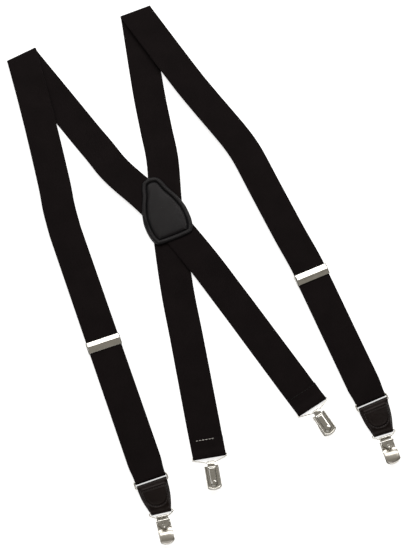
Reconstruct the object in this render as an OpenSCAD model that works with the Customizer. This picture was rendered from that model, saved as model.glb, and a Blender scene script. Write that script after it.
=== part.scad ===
// Clip-on suspenders with a crossed back, laid flat with the two front straps folded over the back.
// Two elastic straps cross in a leather back patch. Each strap goes on over a shoulder fold, through a
// cam adjuster and round a rectangular ring, and comes back up to the adjuster's own bar.
// A leather tab hangs from each ring, and a cam clip hangs from each tab and from each back end.
//
// Millimetres. Origin: middle of the back patch, on the surface that the suspenders lie on.
// +Z up, +Y towards the shoulder folds, +X towards the right-hand front end.

/* [Straps] */
// Width of the elastic webbing
strap_w = 32; // [31:0.1:32.2]
// Thickness of the webbing
web_t = 1.2; // [1.0:0.05:1.25]
// Clear height inside a shoulder fold and inside the loop round a ring
bend_gap = 2.5; // [2.45:0.05:2.6]
// Length of the sewn hem at each back end
hem_len = 17.6; // [14:0.2:20]

/* [Back patch] */
// Thickness of the leather under the straps
backing_t = 1.4; // [1.0:0.1:1.4]
// Width of the raised rim round the patch
rim_w = 4.4; // [3:0.2:5]

/* [Adjusters] */
// Distance from the ring up to the left adjuster
left_adjuster_at = 141; // [130:1:145]
// Distance from the ring up to the right adjuster
right_adjuster_at = 138.3; // [130:1:140]
// Thickness of the pressed steel
steel_t = 0.8; // [0.6:0.05:0.8]

/* [Rings and leather tabs] */
// Outer width of the rectangular ring
ring_w = 33.5; // [33.3:0.1:35]
// Wire diameter of the rectangular ring
ring_wire = 1.8; // [1.6:0.1:2.0]
// Distance between the ring's two long bars
ring_pitch = 6.1; // [5.8:0.1:6.6]
// Thickness of the tab's leather
leather_t = 1.2; // [1.0:0.1:1.2]
// Width of the tab at the ring
tab_top_w = 29.4; // [28:0.2:29.6]
// Width of the tab at the clip wire
tab_end_w = 19.4; // [18:0.2:20]

/* [Clips] */
// Wire diameter of the clip's wire loop
clip_wire = 1.2; // [1.0:0.1:1.25]
// Width of the clip's jaw
jaw_w = 14; // [13.6:0.2:15]
// Length of the clip below its wire bar
clip_len = 26.4; // [26:0.2:28]
// Height of the closed clip
clip_h = 7.6; // [7.5:0.1:7.7]

/* [Hidden] */
$fn = 40;
eps = 0.01;

// Heights of the layers, from the surface up
bend_z = web_t + bend_gap / 2;         // middle of a fold or ring loop
front_z = web_t + bend_gap;            // underside of the front straps
back_l_z = backing_t + web_t + 0.1;    // underside of the left strap in the patch
back_r_z = backing_t + 0.05;           // underside of the right strap in the patch
face_z = back_l_z + web_t + 0.05;      // underside of the patch's face
hem_r = 0.9;                           // inner radius of a hem round its wire
hem_z = web_t + hem_r;                 // middle of that wire
tab_end_r = 0.8;                       // inner radius of a tab's loop round its wire
tab_end_z = leather_t + tab_end_r;     // middle of that wire
barrel_z = 2.45;                       // clip's wire bar above the clip's back

// Plan of each strap, from its back end up to the shoulder fold, and from there down to the ring.
// Each centre line is a smooth curve through these points.
LEFT_BACK = [[143.6, -199.7], [97.7, -134.4], [63.7, -86.4], [27, -37.5], [-9, 5],
             [-45.3, 39.2], [-65.8, 65.3], [-104, 114.6], [-143.7, 165.6]];
RIGHT_BACK = [[46.4, -247.8], [40.6, -217.2], [25.2, -134.4], [15.9, -85.9], [8.2, -33],
              [3.6, 8], [0, 52.4], [-7, 88], [-15.2, 131], [-28.4, 214.5]];
LEFT_FRONT = [[-143.7, 165.6], [-131, 120.5], [-119.6, 77.3], [-106.9, 25.7], [-101.6, 0.3], [-94.8, -24.3]];
LEFT_RUN = [[-94.8, -24.3], [-76.5, -76.5], [-54.8, -138.5], [-31.5, -205], [-9.2, -268.7]];
RIGHT_FRONT = [[-28.4, 214.5], [20.9, 143.3], [40, 117.6], [60, 92], [71.3, 77.3], [80.1, 64.3],
               [87.3, 51.4], [99.6, 25.7]];
RIGHT_RUN = [[99.6, 25.7], [124.3, -24.9], [137.9, -51.2], [146.15, -69.05], [169.5, -123.3],
             [199.69, -193.29]];

// [x, y, turn] of the frames that the fittings are built in: +Y of each runs up its strap
LEFT_FOLD = [-143.7, 165.6, 28.1];
RIGHT_FOLD = [-28.4, 214.5, 22.5];
LEFT_RING = [-8.2, -271.6, 19.3];
RIGHT_RING = [200.9, -196.1, 23.3];
LEFT_TAB_END = [1.35, -300.4, 13];
RIGHT_TAB_END = [210.75, -225.4, 17.5];
LEFT_BACK_END = [143.6, -199.7, 33.5];
RIGHT_BACK_END = [46.4, -247.8, 9.8];
function ring_frame(s) = s == "left" ? LEFT_RING : RIGHT_RING;
function tab_frame(s) = s == "left" ? LEFT_TAB_END : RIGHT_TAB_END;

// Rounded outline of half the back patch, from its narrow top to its broad foot
PATCH_HALF = [[0, 34], [7.2, 32], [10.9, 26.5], [13.6, 18], [18.6, 7], [22.5, -7], [22.6, -21],
              [19.6, -31.5], [13.5, -35]];
PATCH_TURN = 22.6;

SIDES = ["left", "right"];
CLIPS = ["left_front", "right_front", "left_back", "right_back"];

// ---------- curves and sweeps ----------

function unit(v) = v / norm(v);
function smooth(t) = let (c = min(max(t, 0), 1)) c * c * (3 - 2 * c);

// One point of a Catmull-Rom curve between b and c
function spline_at(a, b, c, d, t) = 0.5 * (2 * b + (c - a) * t + (2 * a - 5 * b + 4 * c - d) * t * t
                                          + (3 * b - a - 3 * c + d) * t * t * t);

// Open curve through P, with k steps between each two points
function open_curve(P, k) = let (n = len(P)) concat(
    [for (i = [0:n - 2], j = [0:k - 1]) spline_at(
        i > 0 ? P[i - 1] : 2 * P[0] - P[1], P[i], P[i + 1],
        i < n - 2 ? P[i + 2] : 2 * P[n - 1] - P[n - 2], j / k)],
    [P[n - 1]]);

// Closed curve through P, with k steps between each two points
function closed_curve(P, k) = let (n = len(P))
    [for (i = [0:n - 1], j = [0:k - 1]) spline_at(
        P[(i + n - 1) % n], P[i], P[(i + 1) % n], P[(i + 2) % n], j / k)];

// P, a clockwise closed outline, moved inwards by d
function inset(P, d) = let (n = len(P)) [for (i = [0:n - 1])
    let (t = unit(P[(i + 1) % n] - P[(i + n - 1) % n])) P[i] + d * [t[1], -t[0]]];

// A ribbon's cross-section: [centre, half-width vector, half-thickness vector]
function flat_section(p, side, z, w) = [[p[0], p[1], z + web_t / 2],
                                        [side[0], side[1], 0] * w / 2, [0, 0, web_t / 2]];

// Sections along a plan curve; zs gives the underside's height and ws the width at each point
function flat_sections(C, zs, ws) = let (n = len(C)) [for (i = [0:n - 1])
    let (t = unit(C[min(i + 1, n - 1)] - C[max(i - 1, 0)])) flat_section(C[i], [-t[1], t[0]], zs[i], ws[i])];

// Sections that run in the upright plane of the frame f = [x, y, turn]; each of Q is
// [y, z, angle of travel from +Y towards +Z, width] of the middle of the webbing
function upright_sections(f, Q) = [for (q = Q) let (c = cos(f[2]), s = sin(f[2]))
    [[f[0] - s * q[0], f[1] + c * q[0], q[1]],
     -[c, s, 0] * q[3] / 2,
     [s * sin(q[2]), -c * sin(q[2]), cos(q[2])] * web_t / 2]];

// Closed solid through ribbon sections
module ribbon(S) {
    n = len(S);
    polyhedron(
        [for (q = S, k = [[1, -1], [-1, -1], [-1, 1], [1, 1]]) q[0] + k[0] * q[1] + k[1] * q[2]],
        concat(
            [[0, 3, 2], [0, 2, 1]],
            [for (i = [0:n - 2], k = [0:3]) let (a = 4 * i + k, b = 4 * i + (k + 1) % 4) [a, b, b + 4]],
            [for (i = [0:n - 2], k = [0:3]) let (a = 4 * i + k, b = 4 * i + (k + 1) % 4) [a, b + 4, a + 4]],
            [[4 * n - 4, 4 * n - 3, 4 * n - 2], [4 * n - 4, 4 * n - 2, 4 * n - 1]]),
        convexity = 6);
}

// Places its children in the frame f
module at(f) translate([f[0], f[1], 0]) rotate([0, 0, f[2]]) children();

// Extrudes an outline drawn in Y and Z along X, from x0 to x1
module across(x0, x1) translate([x0, 0, 0]) rotate([90, 0, 90]) linear_extrude(x1 - x0) children();

// Round bar along X
module bar_x(r, x0, x1, y = 0, z = 0) translate([x0, y, z]) rotate([0, 90, 0]) cylinder(r = r, h = x1 - x0);

// Closed round wire in the XY plane through the anticlockwise corners P, bent to radius rb at each
module wire_ring(P, r, rb) {
    n = len(P);
    dir = [for (i = [0:n - 1]) unit(P[(i + 1) % n] - P[i])];
    turn = [for (i = [0:n - 1]) let (a = dir[(i + n - 1) % n], b = dir[i])
        atan2(a[0] * b[1] - a[1] * b[0], a * b)];
    cut = [for (t = turn) rb * tan(t / 2)];
    for (i = [0:n - 1]) {
        a = P[i] + dir[i] * cut[i];
        length = norm(P[(i + 1) % n] - P[i]) - cut[i] - cut[(i + 1) % n];
        before = dir[(i + n - 1) % n];
        middle = P[i] - before * cut[i] + rb * [-before[1], before[0]];
        translate([a[0], a[1], 0]) rotate([0, 0, atan2(dir[i][1], dir[i][0])]) rotate([0, 90, 0])
            cylinder(r = r, h = length);
        translate([middle[0], middle[1], 0]) rotate([0, 0, atan2(before[1], before[0]) - 90])
            rotate_extrude(angle = turn[i]) translate([rb, 0]) circle(r = r);
    }
}

// The same wire where its corners aren't square: one closed tube of 12 sides, with 5 rings at each corner
module tube_loop(P, r, rb) {
    n = len(P);
    sides = 12;
    dir = [for (i = [0:n - 1]) unit(P[(i + 1) % n] - P[i])];
    rings = [for (i = [0:n - 1]) let (a = dir[(i + n - 1) % n], b = dir[i],
        turn = atan2(a[0] * b[1] - a[1] * b[0], a * b), start = atan2(a[1], a[0]),
        middle = P[i] - a * rb * tan(turn / 2) + rb * [-a[1], a[0]])
        each [for (k = [0:4]) let (h = start + turn * k / 4) [middle + rb * [sin(h), -cos(h)], h]]];
    m = len(rings);
    polyhedron(
        [for (q = rings, k = [0:sides - 1]) let (u = 360 * k / sides)
            [q[0][0] - r * cos(u) * sin(q[1]), q[0][1] + r * cos(u) * cos(q[1]), r * sin(u)]],
        [for (i = [0:m - 1], k = [0:sides - 1]) let (j = (i + 1) % m, l = (k + 1) % sides)
            [sides * i + k, sides * i + l, sides * j + l, sides * j + k]],
        convexity = 4);
}

// ---------- straps ----------

// The back run lies on the surface, rises through the patch, and ends in a hem round the clip's wire
function back_height(p, z, level, ramp) = z * (1 - smooth((norm(p) - level) / ramp));

module strap_back(s) color("#1a1616") {
    left = s == "left";
    C = open_curve(left ? LEFT_BACK : RIGHT_BACK, 4);
    n = len(C);
    f = left ? LEFT_BACK_END : RIGHT_BACK_END;
    fold = left ? LEFT_FOLD : RIGHT_FOLD;
    z0 = left ? back_l_z : back_r_z;
    level = left ? 72 : 42;
    ramp = left ? 45 : 40;
    hem_w = strap_w - 0.6;
    body = flat_sections([for (i = [1:n - 2]) C[i]], [for (i = [1:n - 2]) back_height(C[i], z0, level, ramp)],
                         [for (i = [1:n - 2]) hem_w + (strap_w - hem_w) * smooth((i - 1) / 3)]);
    skew = sin(atan2(C[n - 1][1] - C[n - 2][1], C[n - 1][0] - C[n - 2][0]) - fold[2]);
    last = flat_section(C[n - 1], -[cos(fold[2]), sin(fold[2])], 0, strap_w / abs(skew));
    mid = hem_r + web_t / 2;
    down = web_t * 1.5 + 0.05;
    hem = upright_sections(f, concat(
        [[hem_len, down, 180, hem_w], [8.5, down, 180, hem_w], [5, hem_z + mid - 0.5, 168, hem_w]],
        [for (a = [90:22.5:270]) [mid * cos(a), hem_z + mid * sin(a), a + 90, hem_w]]));
    ribbon(concat(hem, body, [last]));
}

module strap_fold(s) color("#1a1616") {
    left = s == "left";
    fold = left ? LEFT_FOLD : RIGHT_FOLD;
    C = left ? LEFT_BACK : RIGHT_BACK;
    t = C[len(C) - 1] - C[len(C) - 2];
    w = strap_w / abs(sin(atan2(t[1], t[0]) - fold[2]));
    r = bend_gap / 2 + web_t / 2;
    ribbon(upright_sections(fold, [for (a = [-90:15:90]) [r * cos(a), bend_z + r * sin(a), a + 90, w]]));
}

function front_curve(s) = open_curve(s == "left" ? LEFT_FRONT : RIGHT_FRONT, 4);
function run_curve(s) = open_curve(s == "left" ? LEFT_RUN : RIGHT_RUN, 4);

// Where the front run meets the run to the ring: one section, square to the strap on both sides of it
function meeting_section(s) = let (C = front_curve(s), D = run_curve(s), t = unit(D[1] - C[len(C) - 2]))
    flat_section(D[0], [-t[1], t[0]], front_z, strap_w);

module strap_front(s) color("#1a1616") {
    left = s == "left";
    C = front_curve(s);
    n = len(C);
    fold = left ? LEFT_FOLD : RIGHT_FOLD;
    t = C[1] - C[0];
    w = strap_w / abs(sin(atan2(t[1], t[0]) - fold[2]));
    S = flat_sections(C, [for (i = [0:n - 1]) front_z], [for (i = [0:n - 1]) strap_w]);
    ribbon(concat([flat_section(C[0], [cos(fold[2]), sin(fold[2])], front_z, w)],
                  [for (i = [1:n - 2]) S[i]], [meeting_section(s)]));
}

ring_loop_w = ring_w - 2 * ring_wire - 0.3;  // webbing drawn in where it turns round the ring

module strap_run(s) color("#1a1616") {
    C = run_curve(s);
    n = len(C);
    turn = ring_frame(s)[2];
    S = flat_sections(C, [for (i = [0:n - 1]) front_z],
                      [for (i = [0:n - 1]) strap_w + (ring_loop_w - strap_w) * smooth((i - n + 3) / 2)]);
    ribbon(concat([meeting_section(s)], [for (i = [1:n - 2]) S[i]],
                  [flat_section(C[n - 1], [cos(turn), sin(turn)], front_z, ring_loop_w)]));
}

// From the ring up to the adjuster's bar, round it, and back on itself
bar_y = -3.7;        // middle of the adjuster's bar, in the adjuster's frame
bar_h = 1.0;         // its height
bar_z = web_t + 0.1 + bar_h / 2;

module strap_return(s) color("#1a1616") {
    left = s == "left";
    f = ring_frame(s);
    top = (left ? left_adjuster_at : right_adjuster_at) + bar_y + 1.4;
    r = bend_gap / 2 + web_t / 2;
    low = web_t / 2;
    rb = bar_z - low;
    up = ring_pitch / 2;
    ribbon(upright_sections(f, concat(
        [for (a = [90:15:270]) [up + r * cos(a), bend_z + r * sin(a), a + 90, ring_loop_w]],
        [for (y = [up + 10, up + 25, top - 30, top - 8, top]) [y, low, 0, y > up + 11 ? strap_w : 31]],
        [for (a = [-60:30:90]) [top + rb * cos(a), bar_z + rb * sin(a), a + 90, strap_w]],
        [[top - 3, bar_z + rb, 180, strap_w], [top - 8, low + web_t + 0.05, 180, strap_w],
         [top - 20, low + web_t + 0.05, 180, strap_w]])));
}

// ---------- back patch ----------

function patch_outline(d) = closed_curve(inset(concat(
    PATCH_HALF, [for (i = [len(PATCH_HALF) - 1:-1:1]) [-PATCH_HALF[i][0], PATCH_HALF[i][1]]]), d), 4);

module patch_plate(d, z0, z1) rotate([0, 0, PATCH_TURN]) translate([0, 0, z0]) linear_extrude(z1 - z0)
    polygon(patch_outline(d));

module back_patch_backing() color("#262426") patch_plate(0, 0, backing_t);

module back_patch_padding() color("#101010") patch_plate(rim_w + 1.2, face_z + 0.02, face_z + 0.8);

module patch_band(d, z0, z1) rotate([0, 0, PATCH_TURN]) translate([0, 0, z0]) linear_extrude(z1 - z0)
    difference() {
        polygon(patch_outline(0));
        polygon(patch_outline(d));
    }

// A sheet over the padding, with a skirt down to the straps, a raised rim and a raised middle
module back_patch_face() color("#303033") {
    patch_band(rim_w + 1, face_z, face_z + 0.85);
    patch_plate(0, face_z + 0.85, face_z + 1.3);
    patch_band(rim_w, face_z + 1.3, face_z + 2.0);
    patch_plate(rim_w + 1.6, face_z + 1.3, face_z + 2.2);
}

// ---------- adjusters ----------

module adjuster_at(s) at(ring_frame(s))
    translate([0, s == "left" ? left_adjuster_at : right_adjuster_at, 0]) children();

cheek_x = strap_w / 2 + 0.25;      // inner face of a cheek
cheek_t = 0.6;
pin_y = 3.9;                       // lever pin, in the adjuster's frame
pin_z = front_z + web_t + 1.1;
pin_r = 0.6;

module adjuster_frame(s) color("#b9b6ae") adjuster_at(s) {
    for (m = [0, 1]) mirror([m, 0, 0]) across(cheek_x, cheek_x + cheek_t) difference() {
        union() {
            polygon([[-5.2, 0], [5.0, 0], [5.0, pin_z], [pin_y - 1.1, pin_z + 0.9],
                     [-5.2, front_z + web_t + 0.3]]);
            translate([pin_y, pin_z]) circle(r = 1.1);
        }
        translate([pin_y, pin_z]) circle(r = pin_r);
    }
    translate([-cheek_x - eps, bar_y - 1.3, bar_z - bar_h / 2]) cube([2 * (cheek_x + eps), 2.6, bar_h]);
    translate([-cheek_x - eps, 1.2, front_z - 1.05]) cube([2 * (cheek_x + eps), 3.6, 1.0]);
}

module adjuster_pin(s) color("#8f8c86") adjuster_at(s)
    bar_x(pin_r, -cheek_x - cheek_t, cheek_x + cheek_t, pin_y, pin_z);

// Roof-shaped cover, curled round the pin, with teeth under its hinge edge
module adjuster_lever(s) color("#dedcd6") adjuster_at(s) {
    half = cheek_x - 0.15;
    top = pin_z + 1.0;
    ridge = top + 0.45;
    foot = front_z + web_t + 0.95;
    difference() {
        union() {
            bar_x(1.0, -half, half, pin_y, pin_z);
            across(-half, half) polygon([[pin_y, top], [0.4, ridge], [-5.8, foot], [-5.8, foot - 0.7],
                                         [-5.3, foot - 0.75], [0.2, ridge - steel_t],
                                         [2.6, top - steel_t + 0.1], [pin_y, pin_z + 0.66]]);
            for (x = [-half, half - steel_t]) across(x, x + steel_t)
                polygon([[0.2, ridge - 0.3], [-5.6, foot - 0.3], [-5.2, foot - 0.8], [0.6, foot - 0.8],
                         [2.4, top - 0.4]]);
            across(-half + 1.5, half - 1.5)
                polygon([[2.35, pin_z + 0.4], [3.2, pin_z + 0.4], [3.3, pin_z - 0.65], [2.5, pin_z - 0.65]]);
        }
        bar_x(pin_r + 0.05, -half - 1, half + 1, pin_y, pin_z);
    }
    for (i = [0:12]) translate([(i - 6) * 2.2, 2.5, 0]) rotate([-90, 0, 0]) linear_extrude(0.6)
        polygon([[-0.7, -(pin_z - 0.6)], [0.7, -(pin_z - 0.6)], [0, -(pin_z - 1.05)]]);
}

// ---------- rings and leather tabs ----------

module ring(s) color("#c9c7c0") at(ring_frame(s)) translate([0, 0, bend_z]) {
    x = (ring_w - ring_wire) / 2;
    y = ring_pitch / 2;
    wire_ring([[-x, -y], [x, -y], [x, y], [-x, y]], ring_wire / 2, 1.2);
}

function in_frame(f, p) = let (c = cos(f[2]), q = sin(f[2]), d = [p[0] - f[0], p[1] - f[1]])
    [c * d[0] + q * d[1], -q * d[0] + c * d[1]];
function from_frame(f, p) = let (c = cos(f[2]), q = sin(f[2]))
    [f[0] + c * p[0] - q * p[1], f[1] + q * p[0] + c * p[1]];
// A point of the ring's frame, in the tab's frame
function ring_point(s, p) = in_frame(tab_frame(s), from_frame(ring_frame(s), p));

// Plan of the tab, a little bowed at its sides, which ends inside the legs of its upper loop
module tab_plan(s, d) {
    y0 = -ring_pitch / 2 - 0.2;
    a = ring_point(s, [-tab_top_w / 2 + d, y0]);
    b = ring_point(s, [tab_top_w / 2 - d, y0]);
    e = tab_end_w / 2 - d;
    bow = 1.3;
    polygon([for (t = [0:0.25:1]) [-e + (a[0] + e) * t - bow * sin(180 * t), a[1] * t],
             for (t = [1:-0.25:0]) [e + (b[0] - e) * t + bow * sin(180 * t), b[1] * t]]);
}

// Half a tube that opens towards -Y (or +Y), with two short straight legs
module loop_end(ro, ri, w, up) rotate([0, 0, up ? 0 : 180]) {
    across(-w / 2, w / 2) difference() {
        circle(r = ro);
        circle(r = ri);
        translate([-2 * ro, -2 * ro]) square([2 * ro, 4 * ro]);
    }
    for (z = [-ro, ri]) translate([-w / 2, -0.4, z]) cube([w, 0.4, ro - ri]);
}

// Outer leather: the face and both loops, with short ends turned under
module tab_face(s) color("#2c2a2c") {
    f = tab_frame(s);
    ri = bend_z - leather_t;
    at(ring_frame(s)) translate([0, -ring_pitch / 2, bend_z]) loop_end(bend_z, ri, tab_top_w, true);
    at(f) translate([0, 0, tab_end_z]) loop_end(tab_end_z, tab_end_r, tab_end_w, false);
    far = ring_point(s, [0, -ring_pitch / 2])[1];
    sink = 0.03;
    low0 = tab_end_z + tab_end_r + sink;
    low1 = bend_z + ri + sink;
    top0 = low0 + leather_t - 2 * sink;
    top1 = low1 + leather_t - 2 * sink;
    at(f) intersection() {
        linear_extrude(12) tab_plan(s, 0.05);
        across(-20, 20) {
            polygon([[0.2, low0], [3, low0], [far - 4, low1], [far + 3, low1], [far + 3, top1], [far - 4, top1],
                     [far - 8, top1 + 0.5], [far / 2, top1 + 0.8], [7, top0 + 0.9], [3, top0], [0.2, top0]]);
            translate([0.2, sink]) square([4.3, leather_t - 2 * sink]);
            translate([far - 5.5, sink]) square([8.5, leather_t - 2 * sink]);
        }
    }
}

module tab_backing(s) color("#242224") {
    far = ring_point(s, [0, -ring_pitch / 2])[1];
    at(tab_frame(s)) intersection() {
        linear_extrude(12) tab_plan(s, 0.4);
        across(-20, 20) polygon([[4.6, 0], [far - 5.6, 0], [far - 5.6, leather_t], [4.6, leather_t]]);
    }
}

module tab_padding(s) color("#101010") {
    far = ring_point(s, [0, -ring_pitch / 2])[1];
    top0 = tab_end_z + tab_end_r;
    top1 = bend_z + bend_z - leather_t;
    y0 = 3.4;
    y1 = far - 4.6;
    at(tab_frame(s)) intersection() {
        linear_extrude(12) tab_plan(s, 1.2);
        across(-20, 20) polygon([[y0, leather_t + 0.02], [y1, leather_t + 0.02],
                                 [y1, top1 - 0.1], [y0, top0 - 0.05]]);
    }
}

// ---------- clips ----------
// Clip frame: the wire bar's middle is the origin, the tip is at -Y, the lever's side is +Z.

function is_front(c) = c == "left_front" || c == "right_front";
function clip_frame(c) = c == "left_front" ? LEFT_TAB_END : c == "right_front" ? RIGHT_TAB_END
                       : c == "left_back" ? LEFT_BACK_END : RIGHT_BACK_END;
function upper_z(c) = is_front(c) ? tab_end_z : hem_z;
function lower_z(c) = is_front(c) ? barrel_z : clip_h - barrel_z;
function wire_depth(c) = is_front(c) ? 5.0 : 7.0;
function wire_half(c) = is_front(c) ? 11.25 : 16.5;

// Front clips lie on their backs, back clips on their levers
module clip_at(c) at(clip_frame(c)) translate([0, -wire_depth(c), lower_z(c)])
    rotate([0, is_front(c) ? 0 : 180, 0]) children();

// Flat wire loop, tilted so that its lower bar lies in the clip's barrel
module clip_wire(c) color("#c9c7c0") at(clip_frame(c)) translate([0, 0, upper_z(c)]) {
    rise = lower_z(c) - upper_z(c);
    d = norm([wire_depth(c), rise]);
    w = wire_half(c);
    side = is_front(c) ? 2.0 : 2.6;
    rotate([-asin(rise / d), 0, 0])
        tube_loop([[-6.6, -d], [6.6, -d], [w, -side], [w, 0], [-w, 0], [-w, -side]], clip_wire / 2, 1.0);
}

base_top = 1.8 - barrel_z;         // inner face of the base plate
ear_x = 5.3;                       // inner face of an ear
ear_t = 0.8;
lever_y = -4.6;
lever_z = clip_h - barrel_z - 1.4; // lever pin
lever_pin_r = 0.6;
hinge_y = -8.6;
hinge_z = 0.6;                     // jaw hinge
tongue_r = 9.5;                    // roundness of the tip

// Plan of the base or the jaw: straight sides and a round tip
module tongue(w, y0) {
    y_end = -clip_len;
    intersection() {
        translate([-w / 2, y_end]) square([w, y0 - y_end]);
        union() {
            translate([0, y_end + tongue_r]) circle(r = tongue_r);
            translate([-w / 2, y_end + tongue_r]) square([w, y0 - y_end - tongue_r]);
        }
    }
}

module clip_base(c) color("#b5b2a6") clip_at(c) {
    difference() {
        union() {
            translate([0, 0, base_top - steel_t]) linear_extrude(steel_t) tongue(jaw_w - 0.6, -3.4);
            translate([-5.6, -3.5, base_top - steel_t]) cube([11.2, 3.5, steel_t]);
            bar_x(1.4, -5.6, 5.6);
            translate([-3.4, -21, -barrel_z]) cube([6.8, 17, base_top - steel_t + barrel_z + eps]);
            translate([0, -21, -barrel_z]) cylinder(r = 3.4, h = base_top - steel_t + barrel_z + eps);
            for (m = [0, 1]) mirror([m, 0, 0]) across(ear_x, ear_x + ear_t) polygon(
                [[-3.5, base_top - eps], [-3.3, lever_z + 0.6], [-4.0, lever_z + 1.1], [-5.2, lever_z + 1.1],
                 [-6.2, lever_z], [-6.9, 1.9], [hinge_y - 1.4, 1.8], [hinge_y - 2.2, base_top - eps]]);
        }
        bar_x(clip_wire / 2 + 0.08, -7, 7);
        bar_x(lever_pin_r, -7, 7, lever_y, lever_z);
        bar_x(0.75, -7, 7, hinge_y, hinge_z);
    }
}

module clip_lever_pin(c) color("#8f8c86") clip_at(c)
    bar_x(lever_pin_r, -ear_x - ear_t, ear_x + ear_t, lever_y, lever_z);

// Cam lever: curled round its pin, with a pointed thumb plate and a keyhole
module clip_lever(c) color("#cfccc4") clip_at(c) difference() {
    union() {
        bar_x(1.4, -ear_x + 0.1, ear_x - 0.1, lever_y, lever_z);
        translate([0, 0, lever_z + 0.5]) linear_extrude(steel_t)
            polygon([[-5.2, lever_y], [5.2, lever_y], [5.2, -6.4], [5.9, -7.2], [5.4, -8.4], [1.4, -12.2],
                     [0.7, -12.6], [-0.7, -12.6], [-1.4, -12.2], [-5.4, -8.4], [-5.9, -7.2], [-5.2, -6.4]]);
    }
    bar_x(lever_pin_r + 0.05, -7, 7, lever_y, lever_z);
    translate([0, 0, lever_z]) linear_extrude(3) union() {
        translate([0, -10.4]) circle(r = 0.9);
        translate([-0.45, -10.4]) square([0.9, 3.0]);
    }
}

jaw_neck = ear_x - 0.2;            // half width of the jaw between the ears

// Bowed front jaw, with flanges that carry its hinge studs
module clip_jaw(c) color("#cfc8b8") clip_at(c) {
    intersection() {
        translate([0, 0, -2]) linear_extrude(10) {
            tongue(jaw_w, -11);
            translate([-jaw_neck, -11.5]) square([2 * jaw_neck, 4.1]);
        }
        across(-10, 10)
            polygon([[-7.3, 3.1], [-11, 3.2], [-16, 4.2], [-20, 4.55], [-23.2, 4.2], [-25.4, 3.0],
                     [-clip_len - 0.2, 0.9], [-clip_len - 0.2, base_top + 0.15], [-clip_len + 0.7, base_top + 0.15],
                     [-24.7, 2.4], [-22.8, 3.4], [-20, 3.75], [-16, 3.4], [-11, 2.4], [-7.3, 2.3]]);
    }
    for (m = [0, 1]) mirror([m, 0, 0]) {
        across(jaw_neck - 0.7, jaw_neck)
            polygon([[-7.4, 2.6], [-7.4, hinge_z - 0.4], [-8.0, hinge_z - 0.9], [-9.4, hinge_z - 0.9],
                     [-12.6, 1.6], [-13.4, 3.1], [-11, 2.7]]);
        bar_x(0.7, jaw_neck - 0.6, ear_x + ear_t, hinge_y, hinge_z);
    }
}

module clip_grip(c) color("#17171a") clip_at(c) difference() {
    translate([-4.8, -23.2, base_top + 0.15]) cube([9.6, 9.2, 3.35 - base_top - 0.15]);
    for (i = [0:4]) bar_x(0.45, -6, 6, -22.2 + i * 1.8, base_top + 0.15);
    across(-6, 6) polygon([[-24, 4], [-22.8, 3.35], [-24, 2.4]]);
    across(-6, 6) polygon([[-16, 3.36], [-11, 2.36], [-11, 4], [-16, 4]]);
}

// ---------- nodes ----------

back_patch_face();
back_patch_padding();
back_patch_backing();
for (s = SIDES) {
    strap_back(s);
    strap_fold(s);
    strap_front(s);
    strap_run(s);
    strap_return(s);
    adjuster_frame(s);
    adjuster_lever(s);
    adjuster_pin(s);
    ring(s);
    tab_face(s);
    tab_padding(s);
    tab_backing(s);
}
for (c = CLIPS) {
    clip_wire(c);
    clip_base(c);
    clip_lever(c);
    clip_lever_pin(c);
    clip_jaw(c);
    clip_grip(c);
}
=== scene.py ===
import math

import bpy
import numpy as np
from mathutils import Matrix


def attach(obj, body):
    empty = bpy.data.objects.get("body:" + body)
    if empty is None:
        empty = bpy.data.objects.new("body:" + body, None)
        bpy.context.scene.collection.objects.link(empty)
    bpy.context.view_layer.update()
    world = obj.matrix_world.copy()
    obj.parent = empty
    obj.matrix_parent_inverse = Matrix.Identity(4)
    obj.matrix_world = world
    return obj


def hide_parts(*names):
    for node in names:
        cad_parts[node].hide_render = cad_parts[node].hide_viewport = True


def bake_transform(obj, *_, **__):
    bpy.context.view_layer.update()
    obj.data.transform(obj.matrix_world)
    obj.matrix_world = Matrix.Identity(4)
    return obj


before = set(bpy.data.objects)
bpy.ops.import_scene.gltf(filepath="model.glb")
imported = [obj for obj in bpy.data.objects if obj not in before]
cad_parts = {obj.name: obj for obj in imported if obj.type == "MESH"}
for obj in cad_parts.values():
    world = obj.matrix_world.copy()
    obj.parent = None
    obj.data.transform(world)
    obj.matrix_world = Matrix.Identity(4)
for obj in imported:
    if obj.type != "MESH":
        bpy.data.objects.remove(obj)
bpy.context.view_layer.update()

# ---- Camera, floor and light ----
# The suspenders lie on a plain white table, and the camera looks down on them from the clips' end,
# about 18 degrees off straight down. One large softbox hangs beyond the shoulder folds, a lower one
# fills from the clips' end, and the room is light grey overhead and dark at its walls, so metal shows both.

CAMERA_PLACE = (0.040, -0.5785, 1.5462)
CAMERA_TILT = math.radians(18.27)
CAMERA_LENS = 109.26
FLOOR_SIZE = 60.0
FLOOR_DROP = 0.0001
ROOM_ABOVE = (0.25, 0.236, 0.208)
ROOM_AROUND = (0.045, 0.042, 0.038)
# (name, place, size across and along, power, colour), each aimed at the middle of the suspenders
SOFTBOXES = [
    ("main_softbox", (0.1, 1.35, 1.55), (3.2, 1.35), 38, (1.0, 0.995, 0.98)),
    ("fill_softbox", (-0.2, -2.1, 1.15), (2.6, 1.2), 6, (1.0, 0.99, 0.97)),
    ("left_softbox", (-2.0, -0.1, 1.5), (1.4, 1.6), 4, (1.0, 1.0, 1.0)),
]

scene = bpy.context.scene
scene.view_settings.view_transform = "Standard"

camera = bpy.data.objects.new("camera", bpy.data.cameras.new("camera"))
camera.location = CAMERA_PLACE
camera.rotation_euler = (CAMERA_TILT, 0, 0)
camera.data.lens = CAMERA_LENS
scene.collection.objects.link(camera)
scene.camera = camera


def node(tree, kind, inputs=None, **settings):
    """Adds a shader node. `inputs` maps a socket to a value, or to another node's output to link."""
    made = tree.nodes.new(kind)
    for name, value in settings.items():
        setattr(made, name, value)
    for socket, value in (inputs or {}).items():
        if isinstance(value, bpy.types.NodeSocket):
            tree.links.new(value, made.inputs[socket])
        else:
            made.inputs[socket].default_value = value
    return made


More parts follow.
